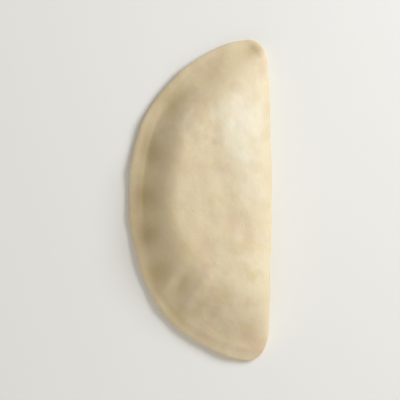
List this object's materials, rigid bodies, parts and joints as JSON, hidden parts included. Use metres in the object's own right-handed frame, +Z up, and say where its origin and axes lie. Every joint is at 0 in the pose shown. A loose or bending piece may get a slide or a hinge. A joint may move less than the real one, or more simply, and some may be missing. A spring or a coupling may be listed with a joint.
{
  "type": "empanada",
  "caption": "Raw half-moon empanada: a round of dough folded over its filling, with a rolled fold, a domed top and a finger-pressed seam, lying flat.",
  "frame": {"origin": "on the flat underside, under the middle of the outline", "axes": "+Y from tip to tip, +X towards the rolled fold, -X towards the pressed seam, +Z up"},
  "size_m": [0.0586, 0.132, 0.0182],
  "materials": {
    "dough": "raw wheat dough, cream, matt with a faint soft sheen"
  },
  "bodies": {
    "root": {"empanada": "dough"}
  },
  "joints": []
}
